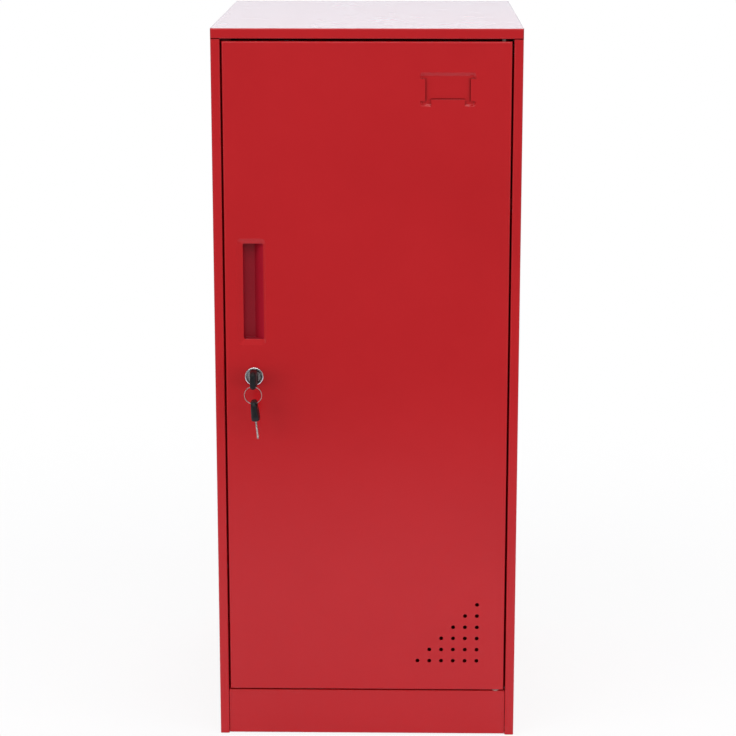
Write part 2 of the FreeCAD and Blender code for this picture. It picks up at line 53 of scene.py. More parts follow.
camera_data = bpy.data.cameras.new("camera")
camera_data.sensor_width = SENSOR_MM
camera_data.lens = LENS_MM
camera = bpy.data.objects.new("camera", camera_data)
camera.location = CAMERA_PLACE
camera.rotation_euler = (math.radians(90 - CAMERA_DOWN), 0, math.radians(CAMERA_LEFT))
scene.collection.objects.link(camera)
scene.camera = camera

# Shader node helpers
MOST_NOISE = (0.3, 0.7)
UNIT = (0, 1)
MIX_A, MIX_B, MIX_RESULT = 6, 7, 2


def empty_tree(owner):
    owner.use_nodes = True
    owner.node_tree.nodes.clear()
    return owner.node_tree


def add(tree, kind, **settings):
    """A new node with its own properties set."""
    node = tree.nodes.new(kind)
    for key, value in settings.items():
        setattr(node, key, value)
    return node


def fill(node, **sockets):
    """Constants on input sockets, with an underscore for each space in a socket's name."""
    for key, value in sockets.items():
        node.inputs[key.replace("_", " ")].default_value = value
    return node


def feed(tree, socket, value):
    """Link another node's output to the socket, or set a number or an RGB colour on it."""
    if isinstance(value, bpy.types.NodeSocket):
        tree.links.new(value, socket)
    elif isinstance(value, tuple):
        socket.default_value = (*value, 1)
    else:
        socket.default_value = value


def noise(tree, coords, scale, detail=2.0, rough=0.5, stretch=None):
    """Noise in the object's own metres, drawn out along an axis where stretch is given."""
    if stretch:
        mapping = fill(add(tree, "ShaderNodeMapping"), Scale=stretch)
        tree.links.new(coords, mapping.inputs["Vector"])
        coords = mapping.outputs["Vector"]
    node = fill(add(tree, "ShaderNodeTexNoise"), Scale=scale, Detail=detail, Roughness=rough)
    tree.links.new(coords, node.inputs["Vector"])
    return node.outputs["Fac"]


def remap(tree, value, source, target, smooth=False):
    """The value's source range brought to the target range and held at both ends."""
    node = add(tree, "ShaderNodeMapRange")
    if smooth:
        node.interpolation_type = "SMOOTHSTEP"
    fill(node, From_Min=source[0], From_Max=source[1], To_Min=target[0], To_Max=target[1])
    tree.links.new(value, node.inputs["Value"])
    return node.outputs["Result"]


def math_node(tree, operation, *values):
    node = add(tree, "ShaderNodeMath", operation=operation)
    for socket, value in zip(node.inputs, values):
        feed(tree, socket, value)
    return node.outputs[0]


def mix_colour(tree, factor, first, second):
    node = add(tree, "ShaderNodeMix", data_type="RGBA")
    tree.links.new(factor, node.inputs["Factor"])
    feed(tree, node.inputs[MIX_A], first)
    feed(tree, node.inputs[MIX_B], second)
    return node.outputs[MIX_RESULT]


def mix_shaders(tree, factor, first, second):
    node = add(tree, "ShaderNodeMixShader")
    for socket, value in zip(node.inputs, (factor, first, second)):
        tree.links.new(value, socket)
    return node.outputs["Shader"]


def bump(tree, height, normal, strength, distance):
    node = fill(add(tree, "ShaderNodeBump"), Strength=strength, Distance=distance)
    tree.links.new(height, node.inputs["Height"])
    tree.links.new(normal, node.inputs["Normal"])
    return node.outputs["Normal"]


def split_axes(tree, vector):
    node = add(tree, "ShaderNodeSeparateXYZ")
    tree.links.new(vector, node.inputs["Vector"])
    return node.outputs


def soft_edges(tree, radius):
    """Rounded shading normal at sharp edges, and a mask that is 1 along them."""
    bevel = fill(add(tree, "ShaderNodeBevel", samples=6), Radius=radius)
    geometry = add(tree, "ShaderNodeNewGeometry")
    dot = add(tree, "ShaderNodeVectorMath", operation="DOT_PRODUCT")
    tree.links.new(bevel.outputs["Normal"], dot.inputs[0])
    tree.links.new(geometry.outputs["Normal"], dot.inputs[1])
    turned = (0.995, 0.86)
    return bevel.outputs["Normal"], remap(tree, dot.outputs["Value"], turned, UNIT)


def start_material(name):
    material = bpy.data.materials.new(name)
    tree = empty_tree(material)
    output = add(tree, "ShaderNodeOutputMaterial")
    shader = add(tree, "ShaderNodeBsdfPrincipled")
    tree.links.new(shader.outputs["BSDF"], output.inputs["Surface"])
    coords = add(tree, "ShaderNodeTexCoord").outputs["Object"]
    return material, tree, shader, coords


def paler(colour, factor, lift=0.0):
    return tuple(min(1.0, c * factor + lift) for c in colour)


# Spot welds on the side walls, in metres
WELD_HALF_PITCH = 0.03
WELD_EDGE = (0.0014, 0.0034)
LID_ROW = 0.9
FLOOR_ROW = 0.0495
ROW_END = (-0.03, -0.02)
CLIP_ROW = 0.689
CLIP_PLACES = (-0.3786, -0.0463)


def weld_marks(tree, coords):
    """Height of the shallow round marks where lid, floor and shelf clips are spot-welded to a side wall."""
    place = split_axes(tree, coords)
    y, z = place["Y"], place["Z"]

    def distance(along, row):
        across = math_node(tree, "SUBTRACT", z, row)
        squares = [math_node(tree, "POWER", leg, 2.0) for leg in (along, across)]
        return math_node(tree, "SQRT", math_node(tree, "ADD", *squares))

    along = math_node(tree, "PINGPONG", y, WELD_HALF_PITCH)
    nearest = math_node(tree, "MINIMUM", distance(along, LID_ROW), distance(along, FLOOR_ROW))
    nearest = math_node(tree, "MAXIMUM", nearest, remap(tree, y, ROW_END, UNIT))
    for clip in CLIP_PLACES:
        from_clip = math_node(tree, "SUBTRACT", y, clip)
        nearest = math_node(tree, "MINIMUM", nearest, distance(from_clip, CLIP_ROW))
    return remap(tree, nearest, WELD_EDGE, UNIT, smooth=True)


# Materials
COAT_DARK, COAT_LIGHT = (0.436, 0.0092, 0.0130), (0.466, 0.0110, 0.0152)
# Darker, cooler red for the recessed finger cup: painted shade, as the cup has the same paint as the door
PAINTED_SHADE_COAT_DARK, PAINTED_SHADE_COAT_LIGHT = (0.355, 0.0086, 0.0225), (0.385, 0.0102, 0.0255)
COAT_SPECK = (0.55, 0.03, 0.035)
COAT_WORN = (0.6, 0.06, 0.068)
SUBSURFACE_RADIUS = (0.001, 0.0009, 0.0008)


def powder_coat(name, dark=COAT_DARK, light=COAT_LIGHT, welded=False):
    """Semi-gloss red coat: fine orange peel, slightly wavy sheet, mottled tone, thin pale wear on the edges."""
    material, tree, shader, coords = start_material(name)
    fill(shader, Specular_IOR_Level=0.08, Coat_Weight=1.0, Coat_IOR=1.36, Coat_Roughness=0.16)
    link = tree.links.new
    edge_normal, edge = soft_edges(tree, radius=0.0009)
    mottle = remap(tree, noise(tree, coords, scale=5.0, detail=4.0, rough=0.6), MOST_NOISE, UNIT)
    tone = mix_colour(tree, mottle, dark, light)
    speck = remap(tree, noise(tree, coords, scale=1900.0, detail=1.0), (0.62, 0.8), (0, 0.22))
    tone = mix_colour(tree, speck, tone, COAT_SPECK)
    scuff = remap(tree, noise(tree, coords, scale=60.0, detail=5.0, rough=0.7), (0.45, 0.75), (0.02, 0.25))
    worn = math_node(tree, "MULTIPLY", edge, scuff)
    tone = mix_colour(tree, worn, tone, COAT_WORN)
    link(tone, shader.inputs["Base Color"])
    gloss = remap(tree, noise(tree, coords, scale=26.0, detail=5.0, rough=0.62), MOST_NOISE, (0.3, 0.4))
    link(gloss, shader.inputs["Roughness"])
    waves = noise(tree, coords, scale=9.0, detail=1.0)
    normal = bump(tree, waves, edge_normal, strength=0.012, distance=0.0018)
    if welded:
        normal = bump(tree, weld_marks(tree, coords), normal, strength=0.7, distance=0.00022)
    peel = noise(tree, coords, scale=520.0)
    normal = bump(tree, peel, normal, strength=0.06, distance=0.00022)
    link(normal, shader.inputs["Normal"])
    link(normal, shader.inputs["Coat Normal"])
    return material


def plated(name, dark, light, roughness, stretch, brush=0.05):
    """Plated steel: brush marks, cloudy tone, smudged gloss and bright rubbed edges."""
    material, tree, shader, coords = start_material(name)
    fill(shader, Metallic=1.0)
    link = tree.links.new
    edge_normal, edge = soft_edges(tree, radius=0.0003)
    cloud = remap(tree, noise(tree, coords, scale=90.0, detail=4.0, rough=0.6), MOST_NOISE, UNIT)
    tone = mix_colour(tree, cloud, dark, light)
    rubbed = math_node(tree, "MULTIPLY", edge, 0.5)
    tone = mix_colour(tree, rubbed, tone, paler(light, 1.12))
    link(tone, shader.inputs["Base Color"])
    lines = noise(tree, coords, scale=1.0, detail=3.0, rough=0.6, stretch=stretch)
    smudge = noise(tree, coords, scale=140.0, detail=4.0, rough=0.6)
    halves = [math_node(tree, "MULTIPLY", part, 0.5) for part in (lines, smudge)]
    uneven = math_node(tree, "ADD", *halves)
    link(remap(tree, uneven, MOST_NOISE, roughness), shader.inputs["Roughness"])
    link(bump(tree, lines, edge_normal, strength=brush, distance=0.0001), shader.inputs["Normal"])
    return material


def moulded(name, dark, light, roughness, grain, grain_strength, subsurface=0.0):
    """Moulded plastic or rubber: fine grain, uneven sheen, paler handled edges."""
    material, tree, shader, coords = start_material(name)
    fill(shader, IOR=1.46, Specular_IOR_Level=0.3)
    if subsurface:
        fill(shader, Subsurface_Weight=subsurface, Subsurface_Radius=SUBSURFACE_RADIUS)
    link = tree.links.new
    edge_normal, edge = soft_edges(tree, radius=0.0004)
    cloud = remap(tree, noise(tree, coords, scale=160.0, detail=4.0, rough=0.6), (0.32, 0.68), UNIT)
    tone = mix_colour(tree, cloud, dark, light)
    handled = math_node(tree, "MULTIPLY", edge, 0.35)
    tone = mix_colour(tree, handled, tone, paler(light, 1.3, lift=0.02))
    link(tone, shader.inputs["Base Color"])
    sheen = noise(tree, coords, scale=420.0, detail=3.0)
    link(remap(tree, sheen, MOST_NOISE, roughness), shader.inputs["Roughness"])
    grains = noise(tree, coords, scale=grain)
    normal = bump(tree, grains, edge_normal, strength=grain_strength, distance=0.0002)
    link(normal, shader.inputs["Normal"])
    return material


finishes = {
    "red_powder_coat": powder_coat("red_powder_coat"),
    "zinc_plated_steel": plated(
        "zinc_plated_steel", dark=(0.5, 0.51, 0.53), light=(0.66, 0.67, 0.68), roughness=(0.24, 0.42),
        stretch=(60, 900, 900)),
    "white_nylon": moulded(
        "white_nylon", dark=(0.56, 0.51, 0.48), light=(0.66, 0.62, 0.58), roughness=(0.4, 0.55),
        grain=1500.0, grain_strength=0.08, subsurface=0.2),
    "black_plastic": moulded(
        "black_plastic", dark=(0.006, 0.006, 0.007), light=(0.012, 0.012, 0.0135), roughness=(0.3, 0.46),
        grain=2200.0, grain_strength=0.14),
    "nickel_plated_steel": plated(
        "nickel_plated_steel", dark=(0.56, 0.54, 0.51), light=(0.72, 0.7, 0.66), roughness=(0.2, 0.36),
        stretch=(1400, 120, 1400)),
    "chrome_plate": plated(
        "chrome_plate", dark=(0.82, 0.82, 0.84), light=(0.92, 0.92, 0.93), roughness=(0.1, 0.2),
        stretch=(300, 300, 300), brush=0.01),
    "black_rubber": moulded(
        "black_rubber", dark=(0.022, 0.022, 0.022), light=(0.038, 0.037, 0.036), roughness=(0.65, 0.85),
        grain=1800.0, grain_strength=0.2),
}
welded_coat = powder_coat("red_powder_coat_welded", welded=True)
# Painted shade: the finger cup gets a darker, cooler copy of the red coat
painted_shade_coat = powder_coat("red_powder_coat_painted_shade", PAINTED_SHADE_COAT_DARK, PAINTED_SHADE_COAT_LIGHT)
# Painted shade: a darker copy of the white nylon for the upper pin and bush, which sit in the gap under the lid
nylon_painted_shade = moulded(
    "nylon_painted_shade", dark=(0.15, 0.11, 0.1), light=(0.22, 0.17, 0.155), roughness=(0.3, 0.5),
    grain=1500.0, grain_strength=0.08)
own_finish = {
    "left_side_panel": welded_coat,
    "right_side_panel": welded_coat,
    "handle_cup": painted_shade_coat,
    "upper_hinge_bush": nylon_painted_shade,
    "upper_pivot_pin": nylon_painted_shade,
}
slot_of = {part["node"]: part["material_slot"] for part in frame["record"]["subparts"]}
for node_name, node_object in nodes.items():
    node_object.data.materials.clear()
    node_object.data.materials.append(own_finish.get(node_name, finishes[slot_of[node_name]]))

# Mesh helpers
SHARP_DEGREES = 35.0
SLIVER = 2e-7


def shade(mesh, sharp):
    mesh.shade_smooth()
    mesh.set_sharp_from_angle(angle=math.radians(sharp))


def to_object(name, bm, sharp=SHARP_DEGREES):
    bmesh.ops.recalc_face_normals(bm, faces=bm.faces)
    mesh = bpy.data.meshes.new(name)
    bm.to_mesh(mesh)
    bm.free()
    shade(mesh, sharp)
    obj = bpy.data.objects.new(name, mesh)
    scene.collection.objects.link(obj)
    return obj


def dress(obj, body, slot, node):
    """Finish a piece, set it on its body and let it stand for its CAD node."""
    obj.data.materials.append(finishes[slot])
    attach(obj, body)
    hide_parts(node)


def skin_loops(bm, loops, closed_path=False):
    """Quads between successive closed loops of points, with the ends filled or joined."""
    rows = [[bm.verts.new(p) for p in loop] for loop in loops]
    pairs = list(zip(rows, rows[1:]))
    if closed_path:
        pairs.append((rows[-1], rows[0]))
    for a, b in pairs:
        for i in range(len(a)):
            j = (i + 1) % len(a)
            bm.faces.new((a[i], a[j], b[j], b[i]))
    if not closed_path:
        bm.faces.new(rows[0])
        bm.faces.new(rows[-1][::-1])


def lathe(bm, profile, place, segments, flats=None, closed=True):
    """Turn a profile of (radius, height) about the local Z axis, with two flats if given, and put it in place."""
    loops = []
    for radius, height in profile:
        loop = []
        for i in range(segments):
            angle = 2 * math.pi * i / segments
            x = radius * math.cos(angle)
            if flats:
                x = max(-flats, min(flats, x))
            loop.append(place @ Vector((x, radius * math.sin(angle), height)))
        loops.append(loop)
    skin_loops(bm, loops, closed_path=closed)


def rounded_corner(radius, height, edge, steps=6):
    """Profile points of a quarter-round rim, from the side at this radius to the top at this height."""
    points = []
    for i in range(steps + 1):
        angle = math.pi / 2 * i / steps
        points.append((radius - edge + edge * math.cos(angle), height - edge * (1 - math.sin(angle))))
    return points


def smoothstep(value, low, high):
    t = max(0.0, min(1.0, (value - low) / (high - low)))
    return t * t * (3 - 2 * t)


def cut_with(obj, cutter):
    """Take the cutter out of the object's mesh for good, and clean the mesh of slivers."""
    modifier = obj.modifiers.new("cut", "BOOLEAN")
    modifier.object = cutter
    modifier.solver = "EXACT"
    bpy.context.view_layer.update()
    graph = bpy.context.evaluated_depsgraph_get()
    mesh = bpy.data.meshes.new_from_object(obj.evaluated_get(graph))
    obj.modifiers.clear()
    obj.data = mesh
    bm = bmesh.new()
    bm.from_mesh(mesh)
    bmesh.ops.remove_doubles(bm, verts=bm.verts, dist=SLIVER)
    bmesh.ops.dissolve_degenerate(bm, dist=SLIVER, edges=bm.edges)
    bm.to_mesh(mesh)
    bm.free()
    bpy.data.objects.remove(cutter)
    shade(mesh, SHARP_DEGREES)


# Places that repeat the solids' sizes, in millimetres and degrees
DOOR_FRONT = -450.0
LOCK_X, LOCK_Z = -141.0, 477.4
HEAD_FRONT = -456.5
RING = Vector((-141.0, -477.25, 459.54))
RING_RADIUS = 10.8
SPARE_TILT = -6
SPARE_DROP = 32.06
metres = Matrix.Scale(0.001, 4)


def axis_place(origin, direction, roll=0.0):
    """From millimetres with the local Z axis along the direction to metres in the frame."""
    turn = Vector(direction).to_track_quat("Z", "Y").to_matrix().to_4x4()
    return metres @ (Matrix.Translation(origin) @ turn @ Matrix.Rotation(roll, 4, "Z"))


in_lock = metres @ Matrix.Translation((LOCK_X, HEAD_FRONT, LOCK_Z))
on_ring = metres @ (
    Matrix.Translation(RING) @ Matrix.Rotation(math.radians(SPARE_TILT), 4, "Y")
    @ Matrix.Translation((0, 0, -SPARE_DROP)) @ Matrix.Rotation(math.radians(-90), 4, "X"))

# Key heads, in millimetres, with Y = 0 at the blade and the ring's slot towards -Y
HEAD_LENGTH = 25.0
HEAD_BASE, HEAD_END = 10.5, 7.0
HEAD_HEIGHT = 23.0
HEAD_NARROWING = 6.0
HEAD_SHOULDER = 7.0
HEAD_RIM = 1.5
HEAD_ROUNDING = 0.45
HEAD_POINTS = 120
CORNER_STEPS = 8
RIM_STEPS = 6
BODY_STEPS = 56
HOLLOW_AT = 8.6
HOLLOW_LONG, HOLLOW_TALL = 6.4, 5.6
HOLLOW_DEPTH = 0.55
HOLLOW_EDGE = 0.8
HOLLOW_SIDE = 0.3
RIB_PITCH = 3.4
RIB_SHARE = 0.6
SLOT_AT = 20.75
SLOT_HEIGHT = 17.6
SLOT_RADIUS = 2.25
SLOT_STEPS = 32
SLOT_FLARE = ((3.1, 0.0), (3.7, 0.2), (4.3, 0.55), (6.2, 1.4))


def head_section(thickness, height, y):
    """Closed upright outline with nearly round ends, evenly divided."""
    radius = thickness * HEAD_ROUNDING
    line = []
    for k, (sx, sz) in enumerate(((1, -1), (1, 1), (-1, 1), (-1, -1))):
        cx = sx * (thickness / 2 - radius)
        cz = sz * (height / 2 - radius)
        for i in range(CORNER_STEPS + 1):
            angle = math.radians(-90 + 90 * k + 90 * i / CORNER_STEPS)
            line.append(Vector((cx + radius * math.cos(angle), y, cz + radius * math.sin(angle))))
    line.append(line[0])
    lengths = [0.0]
    for a, b in zip(line, line[1:]):
        lengths.append(lengths[-1] + (b - a).length)
    outline = []
    k = 0
    for i in range(HEAD_POINTS):
        target = lengths[-1] * i / HEAD_POINTS
        while lengths[k + 1] < target:
            k += 1
        span = lengths[k + 1] - lengths[k]
        outline.append(line[k].lerp(line[k + 1], (target - lengths[k]) / span if span else 0))
    return outline


def grip_relief(y, z):
    """Depth of the ribbed thumb hollow on a head's flat side."""
    away = math.hypot((y + HOLLOW_AT) / HOLLOW_LONG, z / HOLLOW_TALL)
    hollow = HOLLOW_DEPTH * (1 - smoothstep(away, HOLLOW_EDGE, 1.0))
    rib = max(0.0, math.cos((y + HOLLOW_AT) * 2 * math.pi / RIB_PITCH)) ** 2
    return hollow * (1 - RIB_SHARE * rib)


def head_loops(place):
    """Sections of the grip, thick at the blade, with round rims and ribbed thumb hollows."""
    rim = [HEAD_RIM * (1 - math.cos(math.pi / 2 * i / RIM_STEPS)) for i in range(RIM_STEPS + 1)]
    inner = [HEAD_RIM + (HEAD_LENGTH - 2 * HEAD_RIM) * i / BODY_STEPS for i in range(1, BODY_STEPS)]
    loops = []
    for s in rim + inner + [HEAD_LENGTH - r for r in reversed(rim)]:
        edge = max(0.0, HEAD_RIM - min(s, HEAD_LENGTH - s))
        inset = HEAD_RIM - math.sqrt(HEAD_RIM * HEAD_RIM - edge * edge)
        thickness = HEAD_BASE + (HEAD_END - HEAD_BASE) * s / HEAD_LENGTH
        rise = math.sin(math.pi / 2 * min(1.0, s / HEAD_SHOULDER, (HEAD_LENGTH - s) / HEAD_SHOULDER))
        tall = HEAD_HEIGHT - HEAD_NARROWING * (1 - rise)
        loop = head_section(thickness - 2 * inset, tall - 2 * inset, -s)
        face = thickness / 2 - inset
        for p in loop:
            side = smoothstep(abs(p.x), face - HOLLOW_SIDE, face)
            p.x -= math.copysign(grip_relief(p.y, p.z) * side, p.x)
        loops.append([place @ p for p in loop])
    return loops


def slot_loops(place):
    """Sections of the ring's slot, which flares towards both sides of the head."""
    half = SLOT_HEIGHT / 2 - SLOT_RADIUS
    loops = []
    for x, grow in [(-x, grow) for x, grow in reversed(SLOT_FLARE)] + list(SLOT_FLARE):
        radius = SLOT_RADIUS + grow
        loop = []
        for i in range(SLOT_STEPS):
            angle = 2 * math.pi * (i + 0.5) / SLOT_STEPS
            rise = half if math.sin(angle) > 0 else -half
            point = Vector((x, -SLOT_AT + radius * math.cos(angle), rise + radius * math.sin(angle)))
            loop.append(place @ point)
        loops.append(loop)
    return loops


def key_head(name, place, body, node):
    """Moulded grip with a flared slot for the ring."""
    bm = bmesh.new()
    skin_loops(bm, head_loops(place))
    head = to_object(name, bm)
    bm = bmesh.new()
    skin_loops(bm, slot_loops(place))
    cut_with(head, to_object("slot_cutter", bm))
    dress(head, body, "black_plastic", node)


# Key blades, in millimetres, from inside the head to the point at +Y
BLADE_START, BLADE_LENGTH = -10, 35.0
BLADE_HALF = 4.0
BLADE_SIDE, BLADE_EASED = 1.0, 0.75
BLADE_STATIONS = 168
BLADE_SHARP = 50.0
BLADE_LEVELS = (-4, -3.8, -2.2, -1.9, -0.9, -0.6, 0, 0.6, 0.9, 1.9, 2.2, 3.8, 4)
EDGE_LEVEL = 3.8
FACE_HALF = 2.45
GROOVE_LOW, GROOVE_HIGH, GROOVE_DEPTH = 0.9, 1.9, 0.35
KEY_CUTS = ((3.2, 0.9), (6.4, 1.5), (9.6, 0.6), (12.8, 1.3), (16.0, 0.8), (19.2, 1.1))
CUT_FLAT = 0.35
POINT_FROM, POINT_END, POINT_LENGTH = 22.5, 25.05, 2.55
POINT_HALF = 0.06


def blade_half(y):
    """Half the blade's height at y, after the cuts and the point."""
    half = BLADE_HALF
    for at, depth in KEY_CUTS:
        half = min(half, BLADE_HALF - depth + max(0.0, abs(y - at) - CUT_FLAT))
    if y > POINT_FROM:
        half = min(half, BLADE_HALF * (POINT_END - y) / POINT_LENGTH)
    return max(half, POINT_HALF)


def key_blade(name, place, body, node):
    """Stamped flat blade: cut on both edges, a milled groove on each side, eased edges and a point."""
    loops = []
    for i in range(BLADE_STATIONS):
        y = BLADE_START + BLADE_LENGTH * i / (BLADE_STATIONS - 1)
        half = blade_half(y)
        right = []
        left = []
        for z in BLADE_LEVELS:
            side = BLADE_EASED if abs(z) == BLADE_HALF else BLADE_SIDE
            high = z * min(1.0, half / FACE_HALF) if abs(z) < EDGE_LEVEL else z * half / BLADE_HALF
            right_groove = GROOVE_DEPTH if GROOVE_LOW <= -z <= GROOVE_HIGH else 0
            left_groove = GROOVE_DEPTH if GROOVE_LOW <= z <= GROOVE_HIGH else 0
            right.append(Vector((side - right_groove, y, high)))
            left.append(Vector((-side + left_groove, y, high)))
        loops.append([place @ p for p in right + left[::-1]])
    bm = bmesh.new()
    skin_loops(bm, loops)
    dress(to_object(name, bm, BLADE_SHARP), body, "nickel_plated_steel", node)


# Split ring, in millimetres and degrees
WIRE_HALF_RADIAL, WIRE_HALF_ACROSS = 0.2, 0.11
WIRE_ROUNDING = 0.18
RING_TURNS = 718
RING_START = 118
RING_STATIONS = 260
TURN_OFFSET = 0.31
STEP_FROM, STEP_TO = 340, 378


def split_ring():
    """Two turns of flat wire side by side, with the step where one turn passes to the other."""
    section = []
    for k, (su, sv) in enumerate(((1, 1), (-1, 1), (-1, -1), (1, -1))):
        for i in range(4):
            angle = math.radians(90 * k + 30 * i)
            section.append((su * WIRE_HALF_RADIAL + WIRE_ROUNDING * math.cos(angle),
                            sv * WIRE_HALF_ACROSS + WIRE_ROUNDING * math.sin(angle)))
    loops = []
    for i in range(RING_STATIONS):
        angle = math.radians(RING_TURNS) * i / (RING_STATIONS - 1)
        across = -TURN_OFFSET + 2 * TURN_OFFSET * smoothstep(math.degrees(angle), STEP_FROM, STEP_TO)
        turn = angle + math.radians(RING_START)
        loop = []
        for u, v in section:
            radius = RING_RADIUS + u
            point = Vector((radius * math.cos(turn), across + v, radius * math.sin(turn)))
            loop.append(metres @ (RING + point))
        loops.append(loop)
    bm = bmesh.new()
    skin_loops(bm, loops)
    dress(to_object("split_ring", bm), "ring", "nickel_plated_steel", "key_ring")


key_head("key_grip", in_lock, "key", "key_head")
key_head("spare_key_grip", on_ring, "spare_key", "spare_key_head")
key_blade("key_shank", in_lock, "key", "key_blade")
key_blade("spare_key_shank", on_ring, "spare_key", "spare_key_blade")
split_ring()

# Lock, in millimetres in front of the door's face
LOCK_SEGMENTS = 96
RIM_FACE = [(7.45, 2.3), (7.7, 2.45), (9.3, 2.45), (9.6, 2.62), (9.8, 2.9), (10.1, 3.0), (10.5, 3.0)]
RIM_BACK = [(11.7, 0.12), (11.55, 0.0), (9.5, 0.0), (7.45, 0.0)]
RIM_CROWN, RIM_CROWN_FOOT, RIM_ROUNDING = 10.5, 1.8, 1.2
RIM_ROUND_STEPS = 8
RIM_SHARP = 30.0
THREAD_START = [(9.3, 0.0)]
THREAD_END = [(9.08, -21.75), (8.8, -22.0), (7.46, -22.0), (7.46, 0.0)]
THREAD_ROOT, THREAD_CREST = 9.08, 9.48
THREAD_TOP, THREAD_PITCH, THREAD_TURNS = -0.9, 0.8, 26
THREAD_FLANK, THREAD_CREST_END = 0.35, 0.45
THREAD_FLATS = 8.3
THREAD_SHARP = 25.0


def lock_body():
    """Chrome rim round a sunk face, and a threaded barrel with two flats behind the door."""
    place = axis_place((LOCK_X, DOOR_FRONT, LOCK_Z), (0, -1, 0))
    profile = list(RIM_FACE)
    for i in range(1, RIM_ROUND_STEPS + 1):
        angle = math.pi / 2 * i / RIM_ROUND_STEPS
        profile.append((RIM_CROWN + RIM_ROUNDING * math.sin(angle),
                        RIM_CROWN_FOOT + RIM_ROUNDING * math.cos(angle)))
    bm = bmesh.new()
    lathe(bm, profile + RIM_BACK, place, LOCK_SEGMENTS)
    dress(to_object("lock_rim", bm, RIM_SHARP), "door", "chrome_plate", "lock_barrel")
    thread = list(THREAD_START)
    for i in range(THREAD_TURNS):
        top = THREAD_TOP - THREAD_PITCH * i
        thread += [(THREAD_ROOT, top), (THREAD_CREST, top - THREAD_FLANK), (THREAD_CREST, top - THREAD_CREST_END)]
    bm = bmesh.new()
    lathe(bm, thread + THREAD_END, place, LOCK_SEGMENTS, flats=THREAD_FLATS)
    dress(to_object("lock_thread", bm, THREAD_SHARP), "door", "chrome_plate", "lock_barrel")


# Cam screw, in millimetres behind its seat on the cam
SCREW_SEAT = -425.8
SCREW_PROFILE = ((0.5, 2.2), (1.4, 2.15), (2.6, 1.95), (3.5, 1.5), (4.0, 0.95), (4.2, 0.4), (4.2, 0.0), (2.0, 0.0),
                 (2.0, -3.7), (1.7, -4.0))
SCREW_SEGMENTS = 48
CROSS_ROLL = 0.4
CROSS_LEVELS = ((0.9, 0.25, 0.7), (2.1, 0.42, 3.0))


def cam_screw():
    """Pan head with a cross recess that narrows towards its bottom."""
    seat = (LOCK_X, SCREW_SEAT, LOCK_Z)
    bm = bmesh.new()
    lathe(bm, SCREW_PROFILE, axis_place(seat, (0, 1, 0)), SCREW_SEGMENTS, closed=False)
    screw = to_object("cam_fixing_screw", bm)
    turned = axis_place(seat, (0, 1, 0), CROSS_ROLL)
    loops = []
    for long, wide, high in CROSS_LEVELS:
        arm = ((long, -wide), (long, wide), (wide, wide))
        cross = [Matrix.Rotation(math.pi / 2 * k, 2) @ Vector(corner) for k in range(4) for corner in arm]
        loops.append([turned @ Vector((*corner, high)) for corner in cross])
    bm = bmesh.new()
    skin_loops(bm, loops)
    cut_with(screw, to_object("cross_cutter", bm))
    dress(screw, "plug", "zinc_plated_steel", "cam_screw")


lock_body()
cam_screw()

# Rubber bumpers on the door stop, in millimetres
BUMPER_X, BUMPER_Y = -171.4, -430.4
BUMPER_HEIGHTS = (151.5, 804.4)
BUMPER_PROFILE = ((4.0, 0.0), (4.0, 0.35), (3.75, 0.8), (3.2, 1.12), (2.3, 1.26), (1.2, 1.3))
BUMPER_SEGMENTS = 40
BUMPER_SHARP = 40.0


def bumpers():
    bm = bmesh.new()
    for z in BUMPER_HEIGHTS:
        lathe(bm, BUMPER_PROFILE, axis_place((BUMPER_X, BUMPER_Y, z), (0, -1, 0)), BUMPER_SEGMENTS, closed=False)
    dress(to_object("bumper_domes", bm, BUMPER_SHARP), "cabinet", "black_rubber", "door_bumpers")


# Rail sockets with two screws each, in millimetres from the side wall
WALL_INSIDE = 189.2
RAIL_Y, RAIL_Z = -225.0, 655.0
SOCKET_PROFILE = [
    (16.0, 0.0), *rounded_corner(16.0, 2.0, edge=0.9),
    (12.3, 2.0), (11.5, 2.25), (11.1, 2.9), *rounded_corner(11.1, 12.0, edge=0.8),
    (9.5, 12.0), (9.1, 11.6), (9.1, 2.0),
]
SOCKET_SEGMENTS = 64
SOCKET_SCREW_OUT, SOCKET_FLANGE = 13.7, 2.0
SOCKET_SCREW_PROFILE = ((0.35, 0.5), (0.4, 0.95), (1.0, 0.9), (1.6, 0.6), (1.9, 0.0))
SOCKET_SCREW_SEGMENTS = 24


def rail_socket(name, side, node):
    place = axis_place((side * WALL_INSIDE, RAIL_Y, RAIL_Z), (-side, 0, 0))
    bm = bmesh.new()
    lathe(bm, SOCKET_PROFILE, place, SOCKET_SEGMENTS, closed=False)
    for out in (SOCKET_SCREW_OUT, -SOCKET_SCREW_OUT):
        spot = place @ Matrix.Translation((out, 0, SOCKET_FLANGE))
        lathe(bm, SOCKET_SCREW_PROFILE, spot, SOCKET_SCREW_SEGMENTS, closed=False)
    dress(to_object(name, bm), "cabinet", "zinc_plated_steel", node)


bumpers()
rail_socket("left_rail_cup", -1, "left_rail_socket")
rail_socket("right_rail_cup", 1, "right_rail_socket")

# Floor, in metres
FLOOR_RADIUS = 2.6
FLOOR_MIDDLE = -0.225
FLOOR_DROP = 0.0004
FLOOR_FADE = (0.9, 2.4)
SEEN_FADE, SEEN_CLEAR = (0.45, 1.3), (0.86, 1.0)
BOUNCE_FADE = (0.7, 1.8)
BOUNCE_NEAR, BOUNCE_FAR = (0.85, 0.85, 0.86), (0.45, 0.45, 0.46)
FLOOR_DARK, FLOOR_LIGHT = (0.9, 0.915, 0.95), (0.93, 0.94, 0.97)
FLOOR_MIRRORED = (0.8, 0.84, 0.96)


def seen_directly(tree, path):
    """1 for what the camera sees, straight or through something clear."""
    return math_node(tree, "MAXIMUM", path["Is Camera Ray"], path["Is Transmission Ray"])


